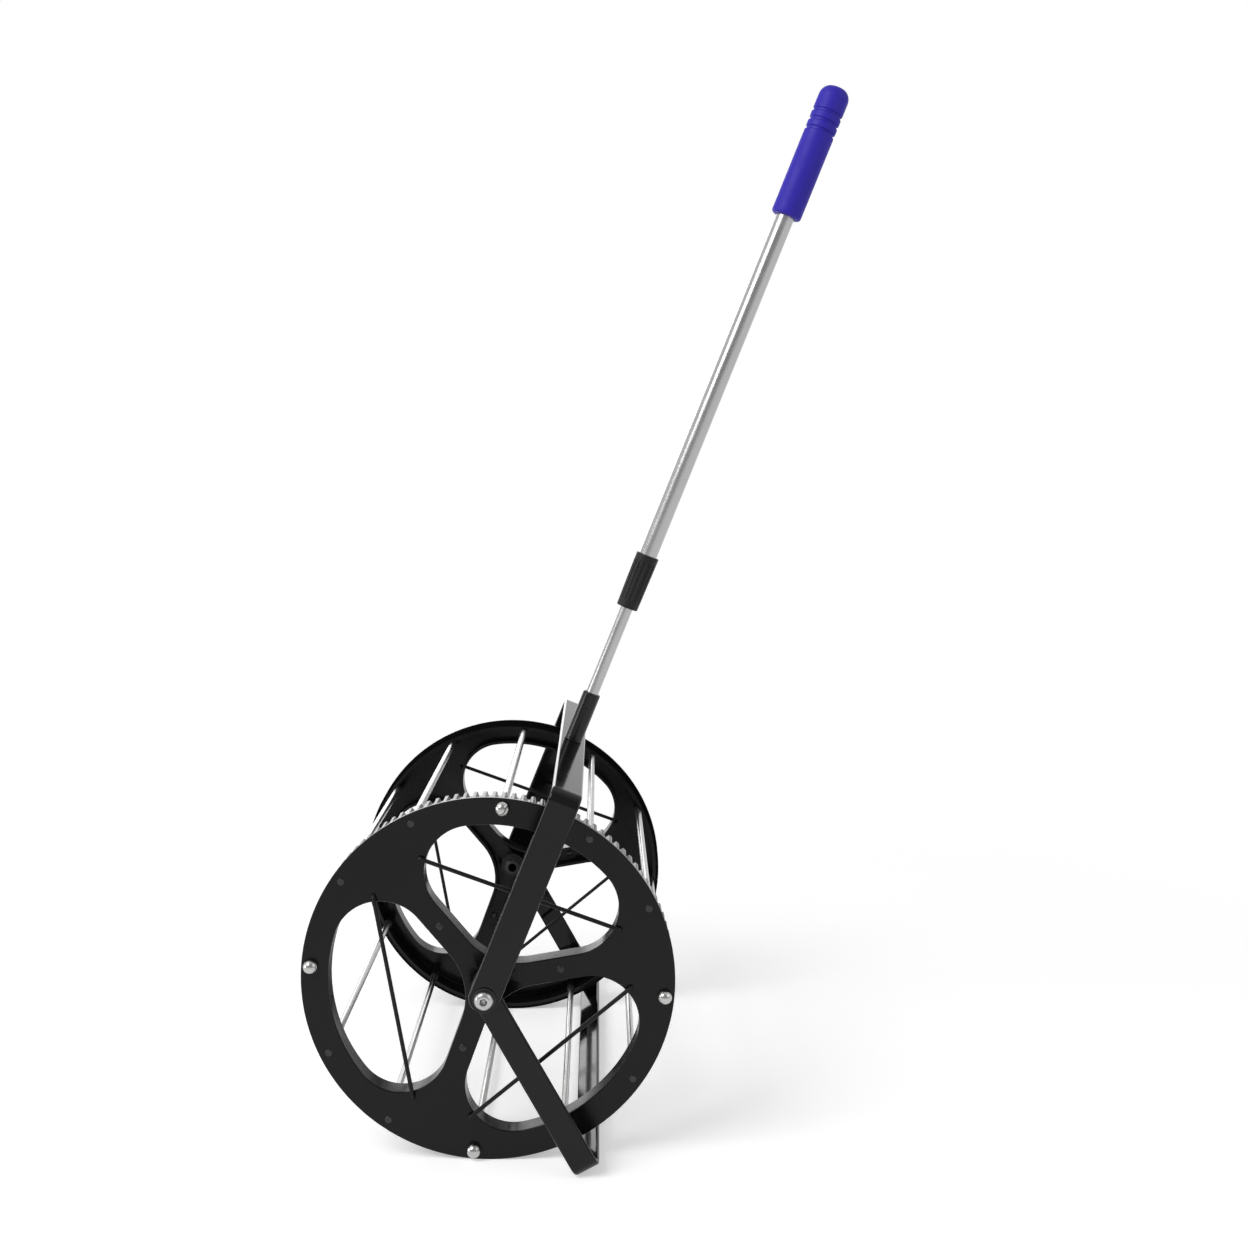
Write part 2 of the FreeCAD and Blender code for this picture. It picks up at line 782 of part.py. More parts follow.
def lock_collet():
    """Split cone on the upper tube that grips the lower tube."""
    outer = upper_tube_diameter / 2
    bore = lower_tube_diameter / 2 + fit_gap
    tip = bore + collet_tip_wall
    start = collar_start + collar_lip + collar_gap
    slope = start + collet_taper_length
    sleeve = upper_tube_bore - fit_gap
    top = upper_tube_start + collet_sleeve_length
    points = [
        (bore, start),
        (tip, start),
        (outer, slope),
        (outer, upper_tube_start),
        (sleeve, upper_tube_start),
        (sleeve, top),
        (bore, top),
    ]
    edges = path_edges([FreeCAD.Vector(r, 0, z) for r, z in points])
    body = spun(edges, upright)
    length = upper_tube_start - collet_slot_inset - start + overrun
    slots = []
    for k in range(collet_slot_count):
        corner = FreeCAD.Vector(0, -collet_slot_width / 2, start - overrun)
        slot = Part.makeBox(outer + overrun, collet_slot_width, length, corner)
        slot.rotate(centre, upright, 360 / collet_slot_count * k)
        slots.append(slot)
    return body.cut(slots)


def lock_collar():
    """Fluted twist collar over the collet and the upper tube's end."""
    bottom = collar_bottom_diameter / 2
    top = collar_top_diameter / 2
    mouth = lower_tube_diameter / 2 + collar_gap
    cavity = upper_tube_diameter / 2 + collar_gap
    points = [
        (mouth, collar_start),
        (bottom - collar_flute_depth, collar_start),
        (bottom, collar_start + collar_flute_depth),
        (top, collar_end - collar_flute_depth),
        (top - collar_flute_depth, collar_end),
        (cavity, collar_end),
        (cavity, collar_start + collar_lip),
        (mouth, collar_start + collar_lip),
    ]
    edges = path_edges([FreeCAD.Vector(r, 0, z) for r, z in points])
    body = spun(edges, upright)
    flutes = []
    for k in range(collar_flute_count):
        turn = 2 * math.pi * k / collar_flute_count
        out = bottom - collar_flute_depth + collar_flute_radius
        place = FreeCAD.Vector(out * math.cos(turn), out * math.sin(turn),
                               collar_start + collar_flute_inset)
        length = collar_length - 2 * collar_flute_inset
        flutes.append(Part.makeCylinder(collar_flute_radius, length, place))
    return body.cut(flutes)


def grip():
    """Soft grip with rings near its domed end."""
    radius = grip_diameter / 2
    groove = radius - grip_ring_depth
    dome_start = grip_end - grip_dome_rise
    points = [
        FreeCAD.Vector(0, 0, grip_start),
        FreeCAD.Vector(radius - grip_lower_bevel, 0, grip_start),
        FreeCAD.Vector(radius, 0, grip_start + grip_lower_bevel),
    ]
    first_ring = grip_start + grip_lower_bevel + grip_barrel_length
    for k in range(grip_ring_count):
        low = first_ring + k * grip_ring_pitch
        high = low + grip_ring_width
        points.append(FreeCAD.Vector(radius, 0, low))
        points.append(FreeCAD.Vector(groove, 0, low))
        points.append(FreeCAD.Vector(groove, 0, high))
        points.append(FreeCAD.Vector(radius, 0, high))
    points.append(FreeCAD.Vector(radius, 0, dome_start))
    edges = [Part.LineSegment(a, b).toShape() for a, b in zip(points[:-1], points[1:])]
    edges.extend(dome_edges(upright, radius, dome_start, grip_end, grip_dome_flat))
    edges.append(Part.LineSegment(upright * grip_end, points[0]).toShape())
    body = spun(edges, upright)
    bore = cylinder_z(upper_tube_diameter / 2 + fit_gap, grip_start - overrun,
                      upper_tube_end + fit_gap)
    return body.cut(bore)


def leaned(shape, angle):
    """Shape turned about the axle from upright towards +X."""
    copy = shape.copy()
    copy.rotate(centre, drum_axis, angle)
    return copy


def drum_nodes():
    """Pieces that turn with the drum."""
    far_hub = hub()
    far_bush = axle_bush()
    far_wires = guard_wires()
    return {
        "left_disc": mirrored(disc(toothed_blank())),
        "right_disc": disc(plain_blank()),
        "left_hub": mirrored(far_hub),
        "right_hub": far_hub,
        "left_axle_bush": mirrored(far_bush),
        "right_axle_bush": far_bush,
        "left_guard_wires": mirrored(far_wires),
        "right_guard_wires": far_wires,
        "spring_rods": spring_rods(),
        "tie_rods": tie_rods(),
        "tie_rod_nuts": tie_rod_nuts(),
        "hub_rivets": hub_rivets(),
    }


def axle_nodes():
    """Bolts, nuts and washers that the yoke holds."""
    far_bolt = axle_bolt()
    far_nut = lock_nut()
    return {
        "left_axle_bolt": mirrored(far_bolt),
        "right_axle_bolt": far_bolt,
        "axle_lock_nuts": compound([mirrored(far_nut), far_nut]),
        "pivot_washers": pivot_washers(),
    }


def handle_nodes():
    """Yoke and handle, leaned together."""
    nodes = {
        "yoke_bar": yoke_bar(),
        "handle_socket": handle_socket(),
        "socket_screw": socket_screw(),
        "socket_pin": socket_pin(),
        "lower_tube": lower_tube(),
        "tube_guide": tube_guide(),
        "upper_tube": upper_tube(),
        "lock_collet": lock_collet(),
        "lock_collar": lock_collar(),
        "grip": grip(),
    }
    return {name: leaned(shape, lean_angle) for name, shape in nodes.items()}


def all_nodes():
    """Every node about the drum's centre."""
    nodes = drum_nodes()
    nodes.update(axle_nodes())
    nodes.update(handle_nodes())
    nodes["stand_bar"] = leaned(stand_bar(), 180 - stand_swing)
    return nodes


def floor_shift(nodes):
    """Move that puts the origin under the middle of the bounding box."""
    boxes = [shape.optimalBoundingBox(False, False) for shape in nodes.values()]
    low_x = min(b.XMin for b in boxes)
    high_x = max(b.XMax for b in boxes)
    low_z = min(b.ZMin for b in boxes)
    return FreeCAD.Vector(-(low_x + high_x) / 2, 0, -low_z)


def main():
    os.makedirs("parts", exist_ok=True)
    nodes = all_nodes()
    shift = floor_shift(nodes)
    for name, shape in nodes.items():
        shape.translate(shift)
        shape.exportStep("parts/" + name + ".step")
        print(name, len(shape.Solids), round(shape.Volume, 1), shape.isValid())
    print("drum centre", [round(v, 4) for v in shift])
    return nodes, shift


placed_nodes, drum_centre = main()
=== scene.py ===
"""Looks of the tennis ball collector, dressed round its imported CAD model.

Lengths are metres in the model's own frame: the drum's axle lies along Y, +Z is up
and the handle leans towards +X. Every piece is a surface worked out with numpy,
from the same sizes as the CAD solids that it stands for.
"""

import json
import math

import bmesh
import bpy
import numpy as np
from mathutils import Matrix, Vector


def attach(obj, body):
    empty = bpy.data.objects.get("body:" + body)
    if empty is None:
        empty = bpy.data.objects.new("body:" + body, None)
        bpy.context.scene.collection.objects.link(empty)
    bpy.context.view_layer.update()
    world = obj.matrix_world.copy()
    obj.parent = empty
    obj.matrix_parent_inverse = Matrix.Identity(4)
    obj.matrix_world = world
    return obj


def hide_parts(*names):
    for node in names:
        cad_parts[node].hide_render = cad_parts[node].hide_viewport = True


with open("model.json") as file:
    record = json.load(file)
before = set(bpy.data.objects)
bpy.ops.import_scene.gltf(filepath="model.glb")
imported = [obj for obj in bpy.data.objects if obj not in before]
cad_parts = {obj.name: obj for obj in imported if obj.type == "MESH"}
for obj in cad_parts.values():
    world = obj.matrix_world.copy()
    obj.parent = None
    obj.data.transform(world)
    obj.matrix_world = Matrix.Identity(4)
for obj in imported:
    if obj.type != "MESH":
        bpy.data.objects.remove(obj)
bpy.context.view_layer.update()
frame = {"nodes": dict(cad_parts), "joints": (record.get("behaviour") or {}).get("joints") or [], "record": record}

mm = 0.001

# End discs
half_length = 160 * mm
drum_radius = 140 * mm
rim_width = 22 * mm
rim_inner = half_length - rim_width
pocket_radius = 134.1 * mm
plate_wall = 3 * mm
opening_radius = 119.5 * mm
spoke_angle = math.radians(10.3)
spoke_turns = spoke_angle + np.arange(3) * 2 * math.pi / 3
half_spoke = 9 * mm
corner_radius = 35.85 * mm
inner_end_radius = 50 * mm
flange_wall = 2.4 * mm
flange_depth = 16 * mm
hub_hole = 11.15 * mm
hub_turns = np.linspace(0, math.pi / 3, 25)

# Teeth: where a flank bends, as shares of the pitch, and how high, as shares of the depth
tooth_count = 120
tooth_pitch = 2 * math.pi / tooth_count
tooth_depth = 3 * mm
root_radius = 136.7 * mm
flank_shares = np.array([0.15, 0.21, 0.29, 0.35])
rise_shares = np.array([1, 0.86, 0.14, 0])

# Rods, nuts and wires of the drum
rod_circle = 132.5 * mm
rod_angles = spoke_angle + np.radians(15 + 30 * np.arange(12))
tie_rod = np.arange(12) % 3 == 2
spring_rod_radius = 2.75 * mm
spring_rod_end = 160.5 * mm
spring_rod_lip = 0.5 * mm
tie_rod_radius = 3 * mm
tie_rod_lip = 0.3 * mm
rod_boss_radius = 4.05 * mm
wire_radius = 1.6 * mm
wire_offset = 71.7 * mm
wire_half_length = 79.35 * mm
wire_bend = 2.2 * mm
wire_back = 153 * mm
rivet_circle = 55 * mm
rivet_tail = 5 * mm

# Axle
bush_flange_end = 185 * mm
washer_gap = 0.2 * mm
stand_faces = (186.4 * mm, 190.4 * mm)
yoke_faces = (191.6 * mm, 195.6 * mm)
bolt_seat = 197.2 * mm
bolt_radius = 4 * mm
lock_nut_start, lock_nut_collar, lock_nut_end = 138.2 * mm, 140.2 * mm, 144.2 * mm
nut_washer_end = 145.8 * mm

# Bars and handle
bar_wall = 4 * mm
bar_edge = 1.8 * mm
stand_width = 20 * mm
stand_reach = 155 * mm
stand_bend = 9 * mm
yoke_width = 23 * mm
yoke_reach = 163 * mm
yoke_bend = 10 * mm
socket_radius = 7.5 * mm
socket_start, socket_end = 163 * mm, 207 * mm
pin_height = 195 * mm
tube_wall = 1 * mm
tube_lip = 0.2 * mm
lower_tube_radius = 5.25 * mm
lower_tube_start, lower_tube_end = 173 * mm, 645.95 * mm
collar_start, collar_end = 285 * mm, 332 * mm
upper_tube_radius = 7.5 * mm
upper_tube_start, upper_tube_end = 324 * mm, 727.95 * mm
grip_start, grip_end = 629 * mm, 737 * mm

weld_distance = 0.002 * mm

joints = {joint["name"]: joint for joint in frame["joints"]}
drum_centre = Vector(joints["drum_spin"]["pos_m"])
handle_axis = Vector(joints["handle_slide"]["axis"])
lean_angle = math.atan2(handle_axis.x, handle_axis.z)
drum_axis = Vector((0, 1, 0))


# Meshes from grids of points

def grid_quads(rows, columns, closed):
    """Corner numbers of a grid's quads; closed joins its last column to its first."""
    across = columns if closed else columns - 1
    row = np.arange(rows - 1)[:, None] * columns
    here = np.arange(across)[None, :]
    there = (here + 1) % columns
    corners = [row + here, row + there, row + columns + there, row + columns + here]
    return np.stack(corners, -1).reshape(-1, 4)


def new_piece(name, grids, body, node, material):
    """Piece from grids of points, each (rows, columns, 3) with a closed flag.

    Grids that meet share their edge points, which are merged, and the faces are
    turned outwards. Flat faces keep their shade up to the rounded edges.
    """
    points, quads, count = [], [], 0
    for grid, closed in grids:
        rows, columns = grid.shape[:2]
        points.append(grid.reshape(-1, 3))
        quads.append(grid_quads(rows, columns, closed) + count)
        count += rows * columns
    mesh = bpy.data.meshes.new(name)
    mesh.from_pydata(np.concatenate(points), [], np.concatenate(quads).tolist())
    merged = bmesh.new()
    merged.from_mesh(mesh)
    bmesh.ops.remove_doubles(merged, verts=merged.verts, dist=weld_distance)
    bmesh.ops.recalc_face_normals(merged, faces=merged.faces)
    merged.to_mesh(mesh)
    merged.free()
    mesh.shade_smooth()
    mesh.materials.append(material)
    piece = bpy.data.objects.new(name, mesh)
    bpy.context.scene.collection.objects.link(piece)
    piece.modifiers.new("even_flats", "WEIGHTED_NORMAL")
    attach(piece, body)
    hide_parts(node)
    return piece


def rounded(corners, steps=4):
    """Profile of (radius, height) points through corners with a rounding each.

    A corner's arc touches both of its sides: it starts and ends at rounding times
    the tangent of half the turn from the corner, and its points lie round its
    centre at even angles. A rounding of zero keeps the corner sharp.
    """
    corners = np.array(corners, float)
    profile = []
    for k, (radius, height, rounding) in enumerate(corners):
        corner = np.array([radius, height])
        if rounding == 0 or k in (0, len(corners) - 1):
            profile.append(corner[None])
            continue
        back = corners[k - 1, :2] - corner
        ahead = corners[k + 1, :2] - corner
        back, ahead = back / np.linalg.norm(back), ahead / np.linalg.norm(ahead)
        half = math.acos(np.clip(back @ ahead, -1, 1)) / 2
        bisector = (back + ahead) / np.linalg.norm(back + ahead)
        centre = corner + bisector * rounding / math.sin(half)
        start = corner + back * rounding / math.tan(half) - centre
        end = corner + ahead * rounding / math.tan(half) - centre
        share = np.linspace(0, 1, steps + 1)[:, None]
        sweep = math.pi - 2 * half
        arc = (start * np.sin((1 - share) * sweep) + end * np.sin(share * sweep)) / math.sin(sweep)
        profile.append(centre + arc)
    return np.concatenate(profile)


def turned_surface(radii, heights, place, axis, turns):
    """Points place + axis * height + radius * (side * cos + across * sin) of each turn.

    A leaning axis, such as the handle's, has the drum's axle as its side.
    """
    side = axis.orthogonal().normalized()
    if abs(axis.y) < 0.5:
        side = Vector((0, 1, 0))
    across = axis.cross(side)
    ring = np.outer(np.cos(turns), side) + np.outer(np.sin(turns), across)
    return np.array(place) + heights[..., None] * np.array(axis) + radii[..., None] * ring


def rings(values, turns):
    """Rows of a grid that each hold one value all the way round."""
    return np.repeat(np.asarray(values, float)[:, None], len(turns), 1)


def round_about(turns):
    """Points of the unit circle: the cosine and the sine of each angle."""
    return np.stack([np.cos(turns), np.sin(turns)], -1)


def lathe(profile, place, axis, sides=64):
    """Surface of a profile of (radius, height) turned once round an axis."""
    turns = np.linspace(0, 2 * math.pi, sides, endpoint=False)
    radii, heights = rings(profile[:, 0], turns), rings(profile[:, 1], turns)
    return turned_surface(radii, heights, place, axis, turns), True


def on_drum(x, y, z, turn=0.0):
    """Points turned about the axle from +X towards +Z, then moved to the drum's centre."""
    c, s = math.cos(turn), math.sin(turn)
    x, y, z = np.broadcast_arrays(x, y, z)
    return np.stack([x * c - z * s + drum_centre.x, y, x * s + z * c + drum_centre.z], -1)


def drum_place(radius, turn, y):
    """One place on the drum as a vector."""
    return Vector(on_drum(radius * math.cos(turn), y, radius * math.sin(turn)))


# End discs

def rim_turns():
    """Angles over a sixth of the rim, from an opening's middle to a spoke's middle.

    Ten to a tooth, close together at the tooth's flanks, with the nearest one moved
    to where the opening's corner leaves the ring.
    """
    steps = np.concatenate([[0], flank_shares, [0.5], 1 - flank_shares[::-1]]) * tooth_pitch
    turns = (np.arange(tooth_count // 6)[:, None] * tooth_pitch + steps).ravel()
    turns = np.append(turns, math.pi / 3)
    turns[np.argmin(abs(turns - corner_turn))] = corner_turn
    return turns[::-1]


corner_across = half_spoke + corner_radius
corner_far = opening_radius - corner_radius
corner_along = math.sqrt(corner_far ** 2 - corner_across ** 2)
corner_turn = math.atan2(corner_across, corner_along)
inner_far = (half_spoke + inner_end_radius) / math.sin(math.pi / 3)
inner_along = inner_far * math.cos(math.pi / 3)


def tooth_rise(turns):
    """Height of the rim's teeth: full on a tip, none at a root, sloped between."""
    away = abs((turns / tooth_pitch + 0.5) % 1 - 0.5)
    return tooth_depth * np.interp(away, flank_shares, rise_shares)


def opening_half():
    """Half of an opening's outline, its unit normals, and the plate's far edge.

    In a spoke's own coordinates, along it and across it: the ring's arc, the corner's
    arc, the spoke's straight side and the round inner end. Each point has a partner
    on the rim, the spoke's middle line or the hub's hole, so that the plate between
    them is ruled by straight lines.
    """
    turns = rim_turns()
    ring = turns[turns >= corner_turn]
    bend = turns[turns < corner_turn]
    sweep = bend / corner_turn * (corner_turn + math.pi / 2) - math.pi / 2
    side = np.linspace(0, 1, 9)[1:-1]
    inner = np.linspace(-math.pi / 2, -2 * math.pi / 3, len(hub_turns))

    corner_centre = np.array([corner_along, corner_across])
    inner_centre = np.array([inner_along, half_spoke + inner_end_radius])
    straight = np.stack([corner_along + (inner_along - corner_along) * side,
                         np.full_like(side, half_spoke)], -1)
    points = np.concatenate([
        opening_radius * round_about(ring),
        corner_centre + corner_radius * round_about(sweep),
        straight,
        inner_centre + inner_end_radius * round_about(inner),
    ])
    normals = np.concatenate([
        round_about(ring),
        round_about(sweep),
        np.tile([0.0, -1.0], (len(side), 1)),
        round_about(inner),
    ])

    def far_edge(rim_radius):
        """The points' partners, with the rim's ones at a radius."""
        middle = rim_radius + (hub_hole - rim_radius) * side
        return np.concatenate([
            rim_radius * round_about(turns),
            np.stack([middle, np.zeros_like(side)], -1),
            hub_hole * round_about(hub_turns),
        ])

    return turns, points, normals, far_edge


def at_depth(points, depth):
    """Points of a plane, each with the same depth behind the disc's front face."""
    return np.column_stack([points, np.full(len(points), depth)])


def disc_sixth(toothed):
    """Grids of (along, across, depth) over half a spoke and half of its two openings.

    The plate, the rounded edge, the opening's upright flange and the plate's back are
    one grid, a profile of growth and depth carried along the opening's outline. The
    rim is a profile of radius and depth: a smooth round edge as deep as the plate, and
    behind it the tread, which the teeth lift. Without teeth it is lifted all round.
    """
    turns, points, normals, far_edge = opening_half()
    edge, tip, root, lip = 1.0 * mm, 0.5 * mm, 0.5 * mm, 0.4 * mm
    front_inset, front_lip, back_lip = 1.5 * mm, 0.7 * mm, 0.2 * mm
    wall = rounded([
        (3 * edge, 0, 0),
        (0, 0, edge),
        (0, flange_depth, tip),
        (flange_wall, flange_depth, tip),
        (flange_wall, plate_wall, root),
        (flange_wall + 2 * root, plate_wall, 0),
    ])[1:-1]

    front_radius = drum_radius - front_inset
    back_radius = pocket_radius - 2 * lip
    plate = np.stack([
        at_depth(far_edge(front_radius), 0),
        *(at_depth(points + grow * normals, depth) for grow, depth in wall),
        at_depth(far_edge(back_radius), plate_wall),
    ])

    smooth = rounded([
        (front_radius, 0, 0),
        (drum_radius, 0, front_lip),
        (drum_radius, plate_wall, back_lip),
        (drum_radius - lip, plate_wall, 0),
    ])[:-1]
    rise = tooth_rise(turns) if toothed else np.full_like(turns, tooth_depth)
    tread = rounded([
        (0, plate_wall, 0),
        (0, rim_width, lip),
        (-3 * lip, rim_width, 0),
    ])[:-1]
    inside = rounded([
        (pocket_radius + 2 * lip, rim_width, 0),
        (pocket_radius, rim_width, lip),
        (pocket_radius, plate_wall, 2 * lip),
        (back_radius, plate_wall, 0),
    ])[1:]
    radii = np.concatenate([
        rings(smooth[:, 0], turns),
        root_radius + rise + tread[:, :1],
        rings(inside[:, 0], turns),
    ])
    depths = rings(np.concatenate([smooth, tread, inside])[:, 1], turns)
    rim = np.stack([radii * np.cos(turns), radii * np.sin(turns), depths], -1)

    hole = np.stack([at_depth(hub_hole * round_about(hub_turns), depth)
                     for depth in (0, plate_wall)])
    return [plate, rim, hole]


def rod_boss(place, way):
    """Boss behind a rod's hole: a thick ring with a rounded end, part of the disc."""
    fit, sunk, bore_lip, lip = 0.1 * mm, 0.5 * mm, 0.3 * mm, 0.6 * mm
    bore = spring_rod_radius + fit
    start = plate_wall - sunk
    ring = rounded([
        (bore, start, 0),
        (bore, rim_width, bore_lip),
        (rod_boss_radius, rim_width, lip),
        (rod_boss_radius, start, 0),
        (bore, start, 0),
    ])
    return lathe(ring * [1, -1], place, drum_axis * way, sides=32)


def disc_grids(way, toothed):
    """A whole disc at one end of the drum: six sixths and twelve bosses."""
    grids = []
    for sixth in disc_sixth(toothed):
        y = way * (half_length - sixth[..., 2])
        for turn in spoke_turns:
            for hand in (1, -1):
                grids.append((on_drum(sixth[..., 0], y, hand * sixth[..., 1], turn), False))
    for turn in rod_angles:
        grids.append(rod_boss(drum_place(rod_circle, turn, way * half_length), way))
    return grids


# Rods, nuts, rivets and wires

def rod_grids(turns, radius, end, lip):
    """Straight rods round the drum from one end to the other, with rounded ends."""
    profile = rounded([(0, -end, 0), (radius, -end, lip), (radius, end, lip), (0, end, 0)])
    return [lathe(profile, drum_place(rod_circle, turn, 0), drum_axis, sides=32)
            for turn in turns]


def both_ends(profile, radius, turns, seat, sides):
    """A turned piece at each of several places on both faces of the drum."""
    return [lathe(profile, drum_place(radius, turn, way * seat), drum_axis * way, sides)
            for turn in turns for way in (1, -1)]


def dome_profile(radius, edge, top, lip, steps=10):
    """Round-topped cap: a rounded foot, an upright edge and a quarter ellipse over it."""
    foot = rounded([(0, 0, 0), (radius, 0, lip), (radius, edge, 0)])
    turn = np.linspace(0, math.pi / 2, steps + 1)[1:]
    dome = np.stack([radius * np.cos(turn), edge + (top - edge) * np.sin(turn)], -1)
    dome[-1, 0] = 0
    return np.concatenate([foot, dome])


def dome_nut_grids():
    """Dome nuts on both ends of the tie rods, seated on the discs' faces."""
    profile = dome_profile(radius=5.5 * mm, edge=2 * mm, top=7 * mm, lip=0.3 * mm)
    return both_ends(profile, rod_circle, rod_angles[tie_rod], half_length, sides=40)


def rivet_grids():
    """Rivets through the spokes, with the same low head in front and behind."""
    head = dome_profile(radius=3 * mm, edge=0.2 * mm, top=1.3 * mm, lip=0.1 * mm)
    front, back = half_length, half_length - rivet_tail
    return (both_ends(head, rivet_circle, spoke_turns, front, sides=32)
            + both_ends(head * [1, -1], rivet_circle, spoke_turns, back, sides=32))


def wire_grid(way, turn):
    """Round wire carried along a bent line: in through the plate, up, across and back.

    The line is a straight tail, a quarter circle, the run across the opening, and
    the same again. Its radius falls to nothing over the round ends.
    """
    front = half_length + wire_bend
    tail = half_length - wire_back
    bend_length = wire_bend * math.pi / 2
    run = 2 * (wire_half_length - wire_bend)
    total = 2 * (tail + bend_length) + run
    cap = np.linspace(0, math.pi / 2, 6)
    near = np.concatenate([wire_radius * (1 - np.cos(cap)),
                           [tail], tail + bend_length * np.linspace(0.1, 1, 10)])
    along = np.concatenate([near, [total / 2], (total - near)[::-1]])
    thick = np.concatenate([wire_radius * np.sin(cap), np.full(len(near) - len(cap), wire_radius)])
    thick = np.concatenate([thick, [wire_radius], thick[::-1]])

    middle = along - total / 2
    q = abs(middle)
    hand = np.sign(middle)
    beyond = np.clip((q - run / 2) / wire_bend, 0, math.pi / 2)
    down = np.maximum(0, q - run / 2 - bend_length)
    z = hand * (np.minimum(q, run / 2) + wire_bend * np.sin(beyond))
    y = front - wire_bend * (1 - np.cos(beyond)) - down
    round_turn = np.linspace(0, 2 * math.pi, 24, endpoint=False)
    out, flat = round_about(round_turn).T
    x = wire_offset + thick[:, None] * flat
    y = y[:, None] + thick[:, None] * out * np.cos(beyond)[:, None]
    z = z[:, None] + thick[:, None] * out * (hand * np.sin(beyond))[:, None]
    return on_drum(x, way * y, z, turn), True


def wire_grids(way):
    """One wire across each opening, whose middle lies between two spokes."""
    return [wire_grid(way, turn) for turn in spoke_turns + math.pi / 3]


# Axle hardware

nut_sides = 72


def hexagon(turns, across):
    """Distance from a hexagon's middle to its edge in each direction."""
    away = (turns + math.pi / 6) % (math.pi / 3) - math.pi / 6
    return across / 2 / np.cos(away)


def bolt_grids(way):
    """Button head with a hexagon recess, as rings of radius and height.

    They follow the shank, the head's foot, a quarter ellipse over it, the hexagon's
    eased edge, its upright walls and the hollow floor.
    """
    turns = np.linspace(0, 2 * math.pi, nut_sides, endpoint=False)
    radius, edge, top, crown = 7 * mm, 1.6 * mm, 5.5 * mm, 3.6 * mm
    shank, lip = 3 * mm, 0.3 * mm
    recess, ease, floor = 5 * mm, 0.15 * mm, 2.9 * mm
    foot = rounded([(bolt_radius, 0, 0), (radius, 0, lip), (radius, edge, 0)])
    quarter = np.linspace(0, math.pi / 2, 10)[1:]
    dome = [crown, edge] + [radius - crown, top - edge] * round_about(quarter)
    profile = np.concatenate([[(bolt_radius, -shank)], foot, dome])
    flats = hexagon(turns, recess)
    radii = np.concatenate([rings(profile[:, 0], turns),
                            [flats + ease, flats, flats, np.zeros_like(turns)]])
    inner = [top, top - ease, floor, floor - mm]
    heights = rings(np.concatenate([profile[:, 1], inner]), turns)
    place = drum_centre + drum_axis * way * bolt_seat
    return [(turned_surface(radii, heights, place, drum_axis * way, turns), True)]


def washer_grids():
    """Rounded rings beside the bars and under the bolts' heads and nuts."""
    thrust, plain, thick = 9 * mm, 8.5 * mm, 1 * mm
    fit, lip = 0.05 * mm, 0.2 * mm
    bore = bolt_radius + fit
    first, second = bush_flange_end + washer_gap, stand_faces[1] + washer_gap
    washers = [
        (thrust, first, first + thick),
        (thrust, second, second + thick),
        (plain, yoke_faces[1], bolt_seat),
        (plain, lock_nut_end, nut_washer_end),
    ]
    profiles = [rounded([(bore, start, 0), (outer, start, lip), (outer, end, lip),
                         (bore, end, 0), (bore, start, 0)], 3)
                for outer, start, end in washers]
    return [lathe(profile, drum_centre, drum_axis * way)
            for profile in profiles for way in (1, -1)]


def lock_nut_grids():
    """Hexagon nut with chamfered corners and a round collar, inside each disc."""
    turns = np.linspace(0, 2 * math.pi, nut_sides, endpoint=False)
    across, corner, collar, chamfer, ease = 13 * mm, 6.9 * mm, 6 * mm, 0.6 * mm, 0.4 * mm
    flats = hexagon(turns, across)
    eased = np.minimum(flats, corner)
    radii = np.concatenate([rings([bolt_radius, collar - chamfer, collar, collar], turns),
                            [eased, flats, flats, eased], rings([bolt_radius], turns)])
    start, step, end = lock_nut_start, lock_nut_collar, lock_nut_end
    heights = rings([start, start, start + chamfer, step, step,
                     step + ease, end - ease, end, end], turns)
    return [(turned_surface(radii, heights, drum_centre, drum_axis * way, turns), True)
            for way in (1, -1)]


# Bent bars

def bar_grids(width, reach, span, bend, lean):
    """Flat bar bent to a U, with round ends about the axle and softly rounded edges.

    Laid flat, the bar is a long oval: each outline point has an inset and a depth from
    the edge's profile, and a partner on the bar's middle line. The length along the
    bar is then bent: across the top, round a quarter circle and down the leg, every
    depth measured inwards from the outer face.
    """
    half = width / 2
    top = span - bend
    corner = bend * math.pi / 2
    end = top + corner + reach - bend
    arc_points, line_points = 17, 8
    cap = np.linspace(0, math.pi / 2, arc_points)
    side = np.concatenate([
        np.linspace(end, top + corner, line_points)[1:-1],
        np.linspace(top + corner, top, arc_points),
        np.linspace(top, 0, line_points)[1:],
    ])
    slope = np.concatenate([round_about(cap), np.tile([0.0, 1.0], (len(side), 1))])
    middle = np.concatenate([np.full_like(cap, end), side])
    skeleton = np.stack([middle, np.zeros_like(middle)], -1)
    outline = skeleton + half * slope

    profile = rounded([(2 * bar_edge, 0, 0), (0, 0, bar_edge), (0, bar_wall, bar_edge),
                       (2 * bar_edge, bar_wall, 0)])[1:-1]
    flats = [skeleton] + [outline - inset * slope for inset in profile[:, 0]] + [skeleton]
    depths = np.concatenate([[0], profile[:, 1], [bar_wall]])[:, None]
    flats = np.stack(flats)
    s, x = flats[..., 0], flats[..., 1]
    turn = np.clip((s - top) / bend, 0, math.pi / 2)
    down = np.maximum(0, s - top - corner)
    y = np.minimum(s, top) + (bend - depths) * np.sin(turn)
    z = reach - bend + (bend - depths) * np.cos(turn) - down
    return [(on_drum(hand * x, way * y, z, -lean), False)
            for hand in (1, -1) for way in (1, -1)]


# Handle

def on_handle(profile, sides=96):
    """A profile of (radius, distance from the drum's axle) turned round the handle."""
    return [lathe(profile, drum_centre, handle_axis, sides)]


